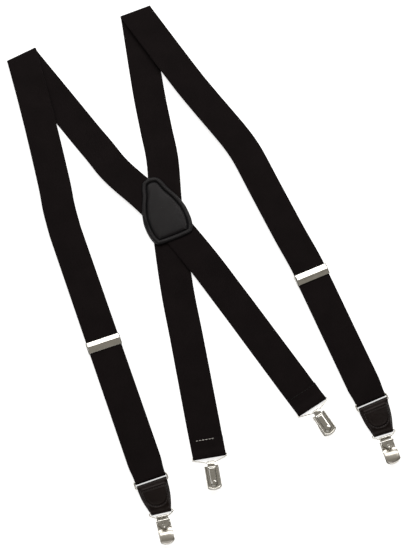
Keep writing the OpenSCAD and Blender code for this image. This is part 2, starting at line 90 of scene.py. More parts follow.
def material(name, colour, roughness, **inputs):
    """A material on a Principled shader. Keys of `inputs` are socket names with _ for a space."""
    made = bpy.data.materials.new(name)
    made.use_nodes = True
    shader = made.node_tree.nodes["Principled BSDF"]
    shader.inputs["Base Color"].default_value = (*colour, 1)
    shader.inputs["Roughness"].default_value = roughness
    for key, value in inputs.items():
        shader.inputs[key.replace("_", " ")].default_value = value
    return made, made.node_tree, shader


world = bpy.data.worlds.new("room")
world.use_nodes = True
# The room is light overhead and dark towards its walls
ways = node(world.node_tree, "ShaderNodeTexCoord")
height = node(world.node_tree, "ShaderNodeSeparateXYZ", {0: ways.outputs["Generated"]})
shade = node(world.node_tree, "ShaderNodeMapRange", {0: height.outputs["Z"], 1: 0.45, 2: 0.9})
blend = node(world.node_tree, "ShaderNodeMix",
             {0: shade.outputs[0], 6: (*ROOM_AROUND, 1), 7: (*ROOM_ABOVE, 1)},
             data_type="RGBA")
world.node_tree.links.new(blend.outputs[2], world.node_tree.nodes["Background"].inputs["Color"])
scene.world = world

for name, place, size, power, colour in SOFTBOXES:
    lamp = bpy.data.lights.new(name, "AREA")
    lamp.shape = "RECTANGLE"
    lamp.size, lamp.size_y = size
    lamp.energy = power
    lamp.color = colour
    softbox = bpy.data.objects.new(name, lamp)
    softbox.location = place
    aim = np.array(place) - np.array([0.03, -0.04, 0])
    tilt = math.atan2(np.hypot(aim[0], aim[1]), aim[2])
    softbox.rotation_euler = (tilt, 0, math.atan2(aim[0], -aim[1]))
    scene.collection.objects.link(softbox)

floor_mesh = bpy.data.meshes.new("floor")
half_floor = FLOOR_SIZE / 2
floor_mesh.from_pydata(
    [(x, y, -FLOOR_DROP) for x, y in ((-half_floor, -half_floor), (half_floor, -half_floor),
                                      (half_floor, half_floor), (-half_floor, half_floor))],
    [], [(0, 1, 2, 3)])
floor = bpy.data.objects.new("floor", floor_mesh)
scene.collection.objects.link(floor)
white, _, _ = material("white_table", (0.9, 0.9, 0.9), 0.9, Specular_IOR_Level=0.1,
                       Emission_Color=(1, 1, 1, 1), Emission_Strength=0.72)
floor_mesh.materials.append(white)

# ---- Elastic webbing ----
# Each strap is one length of black ribbed elastic webbing, 32 mm wide and 1.2 mm thick. It starts in
# a hem round its back clip's wire, crosses the back, turns over at the shoulder, runs down through
# the adjuster and round the ring, and comes back up to a loop round the adjuster's bar.

MM = 0.001
SIDES = ("left", "right")
WEB_W = 32.0
WEB_T = 1.2
BEND_GAP = 2.5
BEND_Z = WEB_T + BEND_GAP / 2
FRONT_Z = WEB_T + BEND_GAP
HEM_LENGTH = 17.6
HEM_WIRE_R = 0.9
HEM_NARROWER = 0.6
RING_LOOP_W = 29.6
RING_PITCH = 6.1
BAR_Y = -3.7
BAR_Z = 1.8
TURN_ABOVE_BAR = 1.4
TAIL_LENGTH = 20
ROW_STEP = 3.0
EASE = 20.0

# [x, y, turn] of each fitting, in millimetres and degrees: +Y of its own frame runs up its strap
FOLD = {"left": (-143.7, 165.6, 28.1), "right": (-28.4, 214.5, 22.5)}
RING = {"left": (-8.2, -271.6, 19.3), "right": (200.9, -196.1, 23.3)}
TAB_END = {"left": (1.35, -300.4, 13), "right": (210.75, -225.4, 17.5)}
BACK_END = {"left": (143.6, -199.7, 33.5), "right": (46.4, -247.8, 9.8)}
ADJUSTER_AT = {"left": 141.0, "right": 138.3}
# Height of the strap's underside in the patch, how far out it stays level, and how far it falls over
IN_PATCH = {"left": (2.7, 72.0, 45.0), "right": (1.45, 42.0, 40.0)}

# Points that each strap's middle line passes through, in millimetres
BACK_LINE = {
    "left": [(143.6, -199.7), (97.7, -134.4), (63.7, -86.4), (27, -37.5), (-9, 5), (-45.3, 39.2),
             (-65.8, 65.3), (-104, 114.6), (-143.7, 165.6)],
    "right": [(46.4, -247.8), (40.6, -217.2), (25.2, -134.4), (15.9, -85.9), (8.2, -33), (3.6, 8),
              (0, 52.4), (-7, 88), (-15.2, 131), (-28.4, 214.5)],
}
FRONT_LINE = {
    "left": [(-143.7, 165.6), (-131, 120.5), (-119.6, 77.3), (-106.9, 25.7), (-101.6, 0.3), (-94.8, -24.3)],
    "right": [(-28.4, 214.5), (20.9, 143.3), (40, 117.6), (60, 92), (71.3, 77.3), (80.1, 64.3),
              (87.3, 51.4), (99.6, 25.7)],
}
RUN_LINE = {
    "left": [(-94.8, -24.3), (-76.5, -76.5), (-54.8, -138.5), (-31.5, -205), (-9.2, -268.7)],
    "right": [(99.6, 25.7), (124.3, -24.9), (137.9, -51.2), (146.15, -69.05), (169.5, -123.3),
              (199.69, -193.29)],
}


def smooth(t):
    """Smoothstep: 3t^2 - 2t^3 with t held between 0 and 1."""
    t = np.clip(t, 0, 1)
    return t * t * (3 - 2 * t)


def unit(v):
    """Each vector over its own length."""
    return v / np.linalg.norm(v, axis=-1, keepdims=True)


def lengths(line):
    """Distance along a line of points, from its first point to each of them."""
    return np.concatenate([[0], np.cumsum(np.linalg.norm(np.diff(line, axis=0), axis=1))])


def curve_through(points, steps=16, closed=False):
    """Catmull-Rom curve: between b and c it is half of
    2b + (c - a)t + (2a - 5b + 4c - d)t^2 + (3b - a - 3c + d)t^3."""
    P = np.array(points, float)
    if closed:
        P = np.vstack([P[-1:], P, P[:2]])
    else:
        P = np.vstack([2 * P[0] - P[1], P, 2 * P[-1] - P[-2]])
    a, b, c, d = (P[i:len(P) - 3 + i, None] for i in range(4))
    t = (np.arange(steps) / steps)[None, :, None]
    curve = 0.5 * (2 * b + (c - a) * t + (2 * a - 5 * b + 4 * c - d) * t**2 + (3 * b - a - 3 * c + d) * t**3)
    curve = curve.reshape(-1, P.shape[1])
    return curve if closed else np.vstack([curve, P[-2:-1]])


def spaced(line, step):
    """The same line with points at even distances, about `step` apart."""
    s = lengths(line)
    even = np.linspace(0, s[-1], max(2, round(s[-1] / step) + 1))
    return np.stack([np.interp(even, s, line[:, k]) for k in range(line.shape[1])], axis=1)


def placed(at, x, y, z):
    """Points of a fitting's own frame, turned about +Z and moved to its place, in millimetres."""
    c, s = math.cos(math.radians(at[2])), math.sin(math.radians(at[2]))
    x, y, z = np.broadcast_arrays(x, y, z)
    return np.stack([at[0] + c * x - s * y, at[1] + s * x + c * y, z], axis=-1)


def cross_axis(at):
    """Unit vector along +X of a fitting's frame."""
    return np.array([math.cos(math.radians(at[2])), math.sin(math.radians(at[2])), 0.0])


def laid_run(line, height, first, last, sign):
    """A stretch that lies flat on its line. Its sideways vectors are square to the line, and ease into
    `first` and `last` at its ends, where its half width grows by 1 / cos of the difference."""
    t = unit(np.gradient(line, axis=0))
    square = sign * np.stack([-t[:, 1], t[:, 0], 0 * t[:, 0]], axis=1)
    s = lengths(line)
    a, b = smooth(s / EASE)[:, None], smooth((s[-1] - s) / EASE)[:, None]
    side = unit(last * (1 - b) + (first * (1 - a) + square * a) * b)
    centre = np.column_stack([line, np.broadcast_to(height, s.shape) + WEB_T / 2])
    return centre, side, 1 / np.abs((side * square).sum(axis=1))


def arc(at, y, z, r, start, end, count):
    """Points of an arc in a fitting's upright plane, about (y, z), from start to end degrees."""
    a = np.radians(np.linspace(start, end, count))
    return placed(at, 0, y + r * np.cos(a), z + r * np.sin(a))


def strap(side):
    """All the cross-sections of one strap: middles, sideways vectors, half widths and the indices
    at which its five pieces meet."""
    end, fold, ring = BACK_END[side], FOLD[side], RING[side]
    hem_z = WEB_T + HEM_WIRE_R
    hem_mid = HEM_WIRE_R + WEB_T / 2
    lying = WEB_T * 1.5 + 0.05
    y = np.arange(HEM_LENGTH, 0.2, -0.8)
    turned = placed(end, 0, y, lying + (hem_z + hem_mid - lying) * smooth((8.5 - y) / 7))
    hem = np.vstack([turned, arc(end, 0, hem_z, hem_mid, 90, 270, 15)])

    back_line = spaced(curve_through(BACK_LINE[side]), ROW_STEP)
    z0, level, ramp = IN_PATCH[side]
    lift = z0 * (1 - smooth((np.linalg.norm(back_line, axis=1) - level) / ramp))
    back, back_side, back_mitre = laid_run(back_line, lift, -cross_axis(end), -cross_axis(fold), 1)
    turn = arc(fold, 0, BEND_Z, BEND_Z - WEB_T / 2, -90, 90, 15)

    front_line = spaced(curve_through(FRONT_LINE[side]), ROW_STEP)
    run_line = spaced(curve_through(RUN_LINE[side]), ROW_STEP)
    down_line = np.vstack([front_line, run_line[1:]])
    down, down_side, down_mitre = laid_run(down_line, FRONT_Z, -cross_axis(fold), -cross_axis(ring), -1)

    up = RING_PITCH / 2
    round_ring = arc(ring, up, BEND_Z, BEND_Z - WEB_T / 2, 90, 270, 15)
    top = ADJUSTER_AT[side] + BAR_Y + TURN_ABOVE_BAR
    bar_r = BAR_Z - WEB_T / 2
    rising = placed(ring, 0, np.linspace(up, top, round((top - up) / ROW_STEP) + 1), WEB_T / 2)
    round_bar = arc(ring, top, BAR_Z, bar_r, -90, 90, 13)
    y = np.arange(top, top - TAIL_LENGTH, -1.0)[1:]
    tail = placed(ring, 0, y, lying + (BAR_Z + bar_r - lying) * smooth((y - top + 8) / 5))

    # Neighbouring stretches share a point, which is kept once
    stretches = [
        (hem, -cross_axis(end), 1.0), (back[1:-1], back_side[1:-1], back_mitre[1:-1]),
        (turn, -cross_axis(fold), np.full(len(turn), back_mitre[-1])),
        (down[1:-1], down_side[1:-1], down_mitre[1:-1]),
        (round_ring, -cross_axis(ring), 1.0), (rising[1:-1], -cross_axis(ring), 1.0),
        (np.vstack([round_bar, tail]), -cross_axis(ring), 1.0)]
    centre = np.vstack([c for c, _, _ in stretches])
    sides = np.vstack([np.broadcast_to(v, c.shape) for c, v, _ in stretches])
    mitre = np.concatenate([np.broadcast_to(m, len(c)) for c, _, m in stretches])
    s = lengths(centre)

    starts = np.cumsum([0] + [len(c) for c, _, _ in stretches])
    ring_s = s[starts[4]]
    ends = EASE + 4
    before_fold = int(np.searchsorted(s, s[starts[2]] - ends))
    after_fold = int(np.searchsorted(s, s[starts[3]] + ends))
    split = starts[3] + len(front_line) - 2
    hem_s = s[len(turned)]
    narrow = HEM_NARROWER * (1 - smooth((s - hem_s) / 40))
    narrow = narrow + (WEB_W - RING_LOOP_W) * (1 - smooth((np.abs(s - ring_s - 3) - 5) / 15))
    cuts = [0, before_fold, after_fold, split, starts[4], len(s) - 1]
    return {"centre": centre, "side": sides, "half": (WEB_W - narrow) * mitre / 2, "s": s, "cuts": cuts}


def mesh_piece(name, vertices, faces, uv=None, sharp=40):
    """A mesh object from vertices in millimetres. Edges sharper than `sharp` degrees stay crisp."""
    mesh = bpy.data.meshes.new(name)
    mesh.from_pydata(np.asarray(vertices).reshape(-1, 3) * MM, [], faces)
    if uv is not None:
        corners = np.empty(len(mesh.loops), np.int32)
        mesh.loops.foreach_get("vertex_index", corners)
        layer = mesh.uv_layers.new(name="cloth")
        layer.data.foreach_set("uv", (np.asarray(uv).reshape(-1, 2) * MM)[corners].astype(np.float32).ravel())
    mesh.shade_smooth()
    mesh.set_sharp_from_angle(angle=math.radians(sharp))
    mesh.validate()
    piece = bpy.data.objects.new(name, mesh)
    scene.collection.objects.link(piece)
    return piece


def tube_faces(rows, around, first=0, closed=False):
    """Quads between `rows` rings of `around` points, with a flat face over each end unless closed."""
    i, k = np.meshgrid(np.arange(rows if closed else rows - 1), np.arange(around), indexing="ij")
    j, l = (i + 1) % rows, (k + 1) % around
    quads = np.stack([i * around + k, i * around + l, j * around + l, j * around + k], axis=-1)
    faces = (quads.reshape(-1, 4) + first).tolist()
    if not closed:
        ring = np.arange(around) + first
        faces += [ring[::-1].tolist(), (ring + (rows - 1) * around).tolist()]
    return faces


def ribbon_outline(half, thickness, columns=15, lip=0.45):
    """Outline of a flat ribbon's cross-section: sideways x = f (half - lip) + lip cos(a) and upwards
    z = sin(a) thickness / 2, with f running across the faces and a round the edges."""
    flat = np.linspace(1, -1, columns)
    edge = np.radians(np.linspace(90, 270, 9)[1:-1])
    f = np.concatenate([flat, np.full(7, -1.0), -flat, np.full(7, 1.0)])
    a = np.concatenate([np.full(columns, np.pi / 2), edge, np.full(columns, 3 * np.pi / 2), edge + np.pi])
    x = f * (np.asarray(half)[:, None] - lip) + lip * np.cos(a)
    return x, np.broadcast_to(np.sin(a) * thickness / 2, x.shape), f, a


def webbing(name, sections, first, last):
    """The closed ribbon through cross-sections first to last. Its UV map is the flat webbing: u across
    and v along, in metres."""
    part = slice(first, last + 1)
    centre, side = sections["centre"][part], sections["side"][part]
    t = unit(np.gradient(sections["centre"], axis=0))[part]
    up = unit(np.cross(t, side))
    x, z, _, _ = ribbon_outline(sections["half"][part], WEB_T)
    points = centre[:, None] + side[:, None] * x[..., None] + up[:, None] * z[..., None]
    slant = (side * t).sum(axis=1)[:, None]
    uv = np.stack([x * np.sqrt(1 - slant**2), sections["s"][part][:, None] + x * slant], axis=-1)
    piece = mesh_piece(name, points, tube_faces(*x.shape), uv)
    piece.data.materials.append(elastic)
    return piece


# Elastic webbing: rows of weft half a millimetre apart over warp ribs, dull and nearly black
elastic, tree, shader = material("ribbed_elastic", (0.006, 0.005, 0.005), 0.82,
                                 Specular_IOR_Level=0.10, Sheen_Weight=0.02, Sheen_Roughness=0.5)
cloth = node(tree, "ShaderNodeUVMap", uv_map="cloth")
axes = node(tree, "ShaderNodeSeparateXYZ", {0: cloth.outputs[0]})
rib = node(tree, "ShaderNodeMath", {0: axes.outputs[0], 1: 2 * math.pi / 0.0014}, operation="MULTIPLY")
rib = node(tree, "ShaderNodeMath", {0: rib.outputs[0]}, operation="SINE")
row = node(tree, "ShaderNodeMath", {0: axes.outputs[1], 1: 2 * math.pi / 0.0009}, operation="MULTIPLY")
shift = node(tree, "ShaderNodeMath", {0: rib.outputs[0], 1: 0.6, 2: row.outputs[0]}, operation="MULTIPLY_ADD")
row = node(tree, "ShaderNodeMath", {0: shift.outputs[0]}, operation="SINE")
fuzz = node(tree, "ShaderNodeTexNoise", {"Vector": cloth.outputs[0], "Scale": 900.0, "Detail": 3.0})
weave = node(tree, "ShaderNodeMath", {0: rib.outputs[0], 1: 0.35, 2: row.outputs[0]},
             operation="MULTIPLY_ADD")
weave = node(tree, "ShaderNodeMath", {0: fuzz.outputs["Fac"], 1: 0.9, 2: weave.outputs[0]},
             operation="MULTIPLY_ADD")
bump = node(tree, "ShaderNodeBump", {"Height": weave.outputs[0], "Distance": 0.00009, "Strength": 0.7})
tree.links.new(bump.outputs[0], shader.inputs["Normal"])
patchy = node(tree, "ShaderNodeTexNoise", {"Vector": cloth.outputs[0], "Scale": 45.0, "Detail": 4.0})
tone = node(tree, "ShaderNodeMath", {0: weave.outputs[0], 1: 0.22, 2: patchy.outputs["Fac"]},
            operation="MULTIPLY_ADD")
ramp = node(tree, "ShaderNodeValToRGB", {0: tone.outputs[0]})
ramp.color_ramp.elements[0].position = 0.25
ramp.color_ramp.elements[0].color = (0.0052, 0.0030, 0.0032, 1)
ramp.color_ramp.elements[1].position = 0.95
ramp.color_ramp.elements[1].color = (0.0100, 0.0066, 0.0068, 1)
tree.links.new(ramp.outputs[0], shader.inputs["Base Color"])

for side in SIDES:
    sections = strap(side)
    s, centre, cuts = sections["s"], sections["centre"], sections["cuts"]
    names = ("strap_back", "strap_fold", "strap_front", "strap_run", "strap_return")
    held = ("laid", "folded", "laid", "laid", "folded")
    pieces = {}
    for name, hold, first, last in zip(names, held, cuts, cuts[1:]):
        piece = webbing(f"{side}_webbing_{name[6:]}", sections, first, last)
        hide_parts(f"{side}_{name}")
        pieces[name] = piece
    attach(pieces["strap_back"], "back")
    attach(pieces["strap_front"], f"{side}_front")
    fold = FOLD[side]
    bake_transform(pieces["strap_fold"], "back", f"{side}_front",
             start=placed(fold, 0, 0, WEB_T) * MM, end=placed(fold, 0, 0, FRONT_Z) * MM)
    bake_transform(pieces["strap_run"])
    ring_at, bar_at = RING_PITCH / 2 + 4, ADJUSTER_AT[side] + BAR_Y - 2
    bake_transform(pieces["strap_return"], f"{side}_loop", f"{side}_adjuster",
             start=placed(RING[side], 0, ring_at, 0) * MM, end=placed(RING[side], 0, bar_at, 0) * MM)

# ---- Stitching ----
# Polyester thread, sewn in straight rows through the hems, the strap tails, the patch and the tabs.
# Each stitch is a short spindle of thread that dives into the cloth at both ends.


def stitches(name, path, pitch, dash, radius, thread):
    """A stitch every `pitch` along a line of points. Along a stitch, u runs from -1 to 1: its radius is
    radius (1 - u^4)^(1/2) at the least 0.2 radius, and it sinks by 0.9 radius u^4."""
    s = lengths(path)
    count = max(1, int(s[-1] / pitch))
    middle = (np.arange(count) + 0.5) * s[-1] / count
    u = np.linspace(-1, 1, 7)
    at = middle[:, None] + u * dash / 2
    P = np.stack([np.interp(at, s, path[:, k]) for k in range(3)], axis=-1)
    P[..., 2] -= 0.9 * radius * u**4
    t = unit(P[:, -1] - P[:, 0])[:, None]
    across = unit(np.cross(t, [0.0, 0.0, 1.0]))
    up = np.cross(across, t)
    a = np.linspace(0, 2 * np.pi, 6, endpoint=False)
    r = radius * np.sqrt(np.maximum(1 - u**4, 0.04))
    rings = (P[:, :, None] + r[None, :, None, None] * (
        across[:, :, None] * np.cos(a)[:, None] + up[:, :, None] * np.sin(a)[:, None]))
    faces = [f for k in range(count) for f in tube_faces(7, 6, first=42 * k)]
    piece = mesh_piece(name, rings, faces)
    piece.data.materials.append(thread)
    return piece


def thread_material(name, colour):
    """Spun thread: fine slanting bands across it for its twist."""
    made, tree, shader = material(name, colour, 0.6, Specular_IOR_Level=0.25)
    place = node(tree, "ShaderNodeTexCoord")
    twist = node(tree, "ShaderNodeTexWave", {"Vector": place.outputs["Object"], "Scale": 1500.0,
                                             "Distortion": 1.0})
    bump = node(tree, "ShaderNodeBump", {"Height": twist.outputs["Fac"], "Distance": 0.00004})
    tree.links.new(bump.outputs[0], shader.inputs["Normal"])
    return made


black_thread = thread_material("black_thread", (0.016, 0.015, 0.015))
tab_thread = thread_material("tab_thread", (0.075, 0.070, 0.070))
grey_thread = thread_material("worn_grey_thread", (0.80, 0.77, 0.73))

HEM_SEWN_AT = 15.8
HEM_TOP = 2.53
TAIL_SEWN = 17.0
TAIL_TOP = 2.5
ROW_HALF = 13.5
STITCH_PITCH = 3.0
THIN_THREAD = 0.18
THICK_THREAD = 0.34
for side in SIDES:
    # The right hem's row shows the elastic's pale core between its stitches
    x = np.linspace(-10.5, 7.5, 40) if side == "right" else np.linspace(-ROW_HALF, ROW_HALF, 40)
    thread = grey_thread if side == "right" else black_thread
    row = placed(BACK_END[side], x, HEM_SEWN_AT, HEM_TOP)
    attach(stitches(f"{side}_hem_stitches", row, STITCH_PITCH, 2.6, THICK_THREAD, thread), "back")
    for k, (low, high) in enumerate(((-15, -11.5), (8.5, 15)) if side == "right" else ()):
        more = placed(BACK_END[side], np.linspace(low, high, 9), HEM_SEWN_AT, HEM_TOP)
        end_row = stitches(f"{side}_hem_end_stitches_{k}", more, STITCH_PITCH, 2.3, THIN_THREAD, black_thread)
        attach(end_row, "back")
    y = ADJUSTER_AT[side] + BAR_Y + TURN_ABOVE_BAR - TAIL_SEWN
    row = placed(RING[side], np.linspace(-ROW_HALF, ROW_HALF, 40), y, TAIL_TOP)
    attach(stitches(f"{side}_tail_stitches", row, STITCH_PITCH, 2.4, THIN_THREAD, black_thread),
            f"{side}_adjuster")

# ---- Back patch ----
# A padded black leather patch holds the crossing. Its face has a rolled rim, a sewn groove and a
# puffed middle, and droops beside the straps. A thinner leather backs it, sewn through both straps.

PATCH_HALF = [(0, 34), (7.2, 32), (10.9, 26.5), (13.6, 18), (18.6, 7), (22.5, -7), (22.6, -21),
              (19.6, -31.5), (13.5, -35)]
PATCH_TURN = math.radians(22.6)
BACKING_T = 1.4
FACE_Z = 3.95
INSET_ROWS = 26
INNER_ROWS = 18
INSET_DEPTH = 7.0

outline = curve_through(PATCH_HALF + [(-x, y) for x, y in PATCH_HALF[:0:-1]], 8, closed=True)
forward = unit(np.roll(outline, -1, axis=0) - np.roll(outline, 1, axis=0))
inward = np.stack([forward[:, 1], -forward[:, 0]], axis=1)


def patch_rows():
    """Plan of the patch as rings of points, from its edge to its middle: inset by d as far as 7 mm,
    and from there shrunk towards the middle. Returns the plan, and d of each ring."""
    d = np.linspace(0, INSET_DEPTH, INSET_ROWS)
    rings = outline + d[:, None, None] * inward
    middle = rings[-1].mean(axis=0)
    shrink = np.linspace(1, 0.02, INNER_ROWS)[1:]
    rings = np.concatenate([rings, middle + shrink[:, None, None] * (rings[-1] - middle)])
    c, s = math.cos(PATCH_TURN), math.sin(PATCH_TURN)
    plan = np.stack([c * rings[..., 0] - s * rings[..., 1], s * rings[..., 0] + c * rings[..., 1]], axis=-1)
    return plan, np.concatenate([d, INSET_DEPTH + 14 * (1 - shrink)])


def beside_straps(plan):
    """How far a point lies outside both straps, in millimetres, from 0 under either strap."""
    gaps = []
    for side in SIDES:
        line = curve_through(BACK_LINE[side], 10)
        line = line[np.linalg.norm(line, axis=1) < 90]
        away = np.linalg.norm(plan[..., None, :] - line, axis=-1).min(axis=-1)
        gaps.append(away - WEB_W / 2)
    return np.maximum(np.minimum(*gaps), 0)


def face_relief(d):
    """Height of the face over its own underside, d in from the edge: a rolled rim, a groove at 5 mm,
    and a puffed middle that rises past it in a quarter of an ellipse and then domes gently."""
    rim = 0.35 + 1.65 * np.sqrt(np.maximum(1 - np.abs((d - 2.3) / 2.35) ** 2.6, 0))
    puff = 0.5 + 1.45 * np.sqrt(np.maximum(1 - (1 - np.clip((d - 5.0) / 3.4, 0, 1)) ** 2, 0))
    dome = 0.5 * (1 - (1 - np.clip((d - 5.0) / 16, 0, 1)) ** 2)
    return np.where(d < 4.9, np.maximum(rim, 0.5 * smooth(d / 2)), puff + dome)


def patch_shell(name, top, bottom):
    """Closed shell over the patch's plan from heights of its top and bottom at every point."""
    plan, d = patch_rows()
    upper = np.concatenate([plan, top(plan, d)[..., None]], axis=-1)
    lower = np.concatenate([plan, bottom(plan, d)[..., None]], axis=-1)[::-1]
    rings = np.concatenate([lower, upper])
    return mesh_piece(name, rings, tube_faces(rings.shape[0], rings.shape[1]), sharp=75)


def support(plan):
    """Height of what the face lies on: the straps, and past their edges a fall to the backing."""
    return FACE_Z - (FACE_Z - BACKING_T - 0.05) * smooth(beside_straps(plan) / 11)


def grain_group():
    """Leather grain: pebbles from cell edges, broken by noise. Gives Height, and Shade for colour."""
    group = bpy.data.node_groups.new("leather_grain", "ShaderNodeTree")
    group.interface.new_socket("Vector", in_out="INPUT", socket_type="NodeSocketVector")
    group.interface.new_socket("Pebble Scale", in_out="INPUT", socket_type="NodeSocketFloat")
    group.interface.new_socket("Height", in_out="OUTPUT", socket_type="NodeSocketFloat")
    group.interface.new_socket("Shade", in_out="OUTPUT", socket_type="NodeSocketFloat")
    source = node(group, "NodeGroupInput")
    wander = node(group, "ShaderNodeTexNoise", {"Vector": source.outputs[0], "Scale": 260.0, "Detail": 3.0})
    bent = node(group, "ShaderNodeMix", {0: 0.0012, 4: source.outputs[0], 5: wander.outputs["Color"]},
                data_type="VECTOR")
    cells = node(group, "ShaderNodeTexVoronoi", {"Vector": bent.outputs[1], "Scale": source.outputs[1]},
                 feature="DISTANCE_TO_EDGE")
    pebble = node(group, "ShaderNodeMapRange", {0: cells.outputs["Distance"], 1: 0.0, 2: 0.16})
    fine = node(group, "ShaderNodeTexNoise", {"Vector": source.outputs[0], "Scale": 3200.0, "Detail": 2.0})
    height = node(group, "ShaderNodeMath", {0: fine.outputs["Fac"], 1: 0.35, 2: pebble.outputs[0]},
                  operation="MULTIPLY_ADD")
    wide = node(group, "ShaderNodeTexNoise", {"Vector": source.outputs[0], "Scale": 70.0, "Detail": 5.0})
    shade = node(group, "ShaderNodeMath", {0: pebble.outputs[0], 1: 0.25, 2: wide.outputs["Fac"]},
                 operation="MULTIPLY_ADD")
    node(group, "NodeGroupOutput", {0: height.outputs[0], 1: shade.outputs[0]})
    return group


leather_grain = grain_group()


def leather_material(name, dark, light, roughness, pebble, depth, glint=(1, 0.96, 0.96)):
    """Black leather: grain in its height, and a slow change between two near-blacks and in its shine."""
    made, tree, shader = material(name, light, roughness, Specular_IOR_Level=0.22,
                                  Specular_Tint=(*glint, 1))
    place = node(tree, "ShaderNodeTexCoord")
    grain = node(tree, "ShaderNodeGroup", node_tree=leather_grain)
    tree.links.new(place.outputs["Object"], grain.inputs[0])
    grain.inputs[1].default_value = pebble
    bump = node(tree, "ShaderNodeBump", {"Height": grain.outputs[0], "Distance": depth, "Strength": 0.6})
    tree.links.new(bump.outputs[0], shader.inputs["Normal"])
    ramp = node(tree, "ShaderNodeValToRGB", {0: grain.outputs[1]})
    ramp.color_ramp.elements[0].position = 0.3
    ramp.color_ramp.elements[0].color = (*dark, 1)
    ramp.color_ramp.elements[1].position = 0.95
    ramp.color_ramp.elements[1].color = (*light, 1)
    tree.links.new(ramp.outputs[0], shader.inputs["Base Color"])
    shine = node(tree, "ShaderNodeMapRange", {0: grain.outputs[1], 1: 0.3, 2: 1.0,
                                              3: roughness + 0.08, 4: roughness - 0.05})
    tree.links.new(shine.outputs[0], shader.inputs["Roughness"])
    return made


patch_leather = leather_material("patch_leather", (0.0042, 0.0039, 0.0046), (0.0075, 0.0070, 0.0082),
                                 0.36, 2000, 0.00007)
back_leather = leather_material("backing_leather", (0.012, 0.011, 0.011), (0.020, 0.019, 0.018),
                                0.7, 2600, 0.00008)

face = patch_shell("patch_face_leather", lambda plan, d: support(plan) + face_relief(d)[:, None],
                   lambda plan, d: support(plan) + 0 * d[:, None])
face.data.materials.append(patch_leather)
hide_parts("back_patch_face", "back_patch_padding")
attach(face, "back")



def backing_edge(d):
    """How far the backing's faces draw in at distance d from its edge: 0.45 (1 - d / 0.7)^2."""
    return 0.45 * (1 - np.clip(d / 0.7, 0, 1)) ** 2


backing = patch_shell("patch_backing_leather",
                      lambda plan, d: (BACKING_T - backing_edge(d))[:, None] + 0 * plan[..., 0],
                      lambda plan, d: backing_edge(d)[:, None] + 0 * plan[..., 0])
backing.data.materials.append(back_leather)
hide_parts("back_patch_backing")
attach(backing, "back")

plan, inset = patch_rows()
sewn = plan[int(np.argmin(np.abs(inset - 4.95)))]
sewn = np.column_stack([sewn, support(sewn) + 0.6])
sewn = np.vstack([sewn, sewn[:1]])
patch_sewing = stitches("patch_stitches", sewn, 2.9, 2.2, 0.17, black_thread)
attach(patch_sewing, "back")
under = np.column_stack([sewn[:, :2], np.full(len(sewn), 0.12)])
under_sewing = stitches("patch_back_stitches", under, 2.9, 2.2, 0.1, black_thread)
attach(under_sewing, "back")

# ---- Leather tabs ----
# Each tab is one strip of leather, folded round the ring's bar and round the clip's wire with its ends
# turned under, padded between, and sewn to its backing with a cross row and a U-shaped row.

LEATHER_T = 1.2
TAB_TOP_W = 29.4
TAB_END_W = 19.4
TAB_BOW = 1.3
TAB_END_Z = 2.0
TAB_TURNED = (4.5, 5.5)
SEAM_TOP = 4.8
SEAM_HALF = 11.4
SEAM_SHARE = 0.63
SEAM_POWER = 2.5


def tab_line(side):
    """The tab's two bars: the clip wire's, and the ring's lower one, in plan, and their distance."""
    low = placed(TAB_END[side], 0, 0, 0)
    high = placed(RING[side], 0, -RING_PITCH / 2, 0)
    return low, high, float(np.linalg.norm(high - low))


def tab_half(y, length):
    """Half width of the tab at y up from the clip wire: a straight taper with bowed sides."""
    t = np.clip(y / length, 0, 1)
    return (TAB_END_W + (TAB_TOP_W - TAB_END_W) * t) / 2 + TAB_BOW * np.sin(np.pi * t)


def tab_plan(side, x, y):
    """Point at x across and y up the tab. The cross direction turns evenly between the two bars'."""
    low, high, length = tab_line(side)
    t = np.clip(y / length, 0, 1)[..., None]
    across = unit(cross_axis(TAB_END[side]) * (1 - t) + cross_axis(RING[side]) * t)
    return low + (high - low) * (y / length)[..., None] + across * x[..., None]


def seam_distance(x, y, length):
    """Distance to the tab's sewn rows: the cross row, and the U below it, which is a superellipse."""
    down = length - SEAM_TOP - y
    f = (np.abs(x / SEAM_HALF) ** SEAM_POWER
         + np.abs(np.maximum(down, 0) / (SEAM_SHARE * length)) ** SEAM_POWER) ** (1 / SEAM_POWER)
    around = np.abs(f - 1) * np.hypot(x, down) / np.maximum(f, 0.2)
    return np.minimum(np.where(down < 0, 9.0, around), np.where(np.abs(x) < SEAM_HALF, np.abs(down), 9.0))


def tab_relief(x, y, half, length):
    """Rise of the face's outside over its flat leather: padding, less the sewn grooves, with a lip
    beside each of them."""
    pad = (1 - np.abs(x / half) ** 3.2) * smooth((y - 2) / 6) * smooth((length - 2 - y) / 5)
    away = seam_distance(x, y, length)
    seam = 0.2 * np.exp(-(((away - 1.3) / 0.6) ** 2)) - 0.7 * np.exp(-((away / 0.65) ** 2))
    return 1.05 * pad + seam * smooth((half - np.abs(x)) / 2)


tab_leather = leather_material("tab_leather", (0.0046, 0.0026, 0.0022), (0.0084, 0.0050, 0.0044),
                               0.34, 2400, 0.00005, glint=(1, 0.88, 0.86))

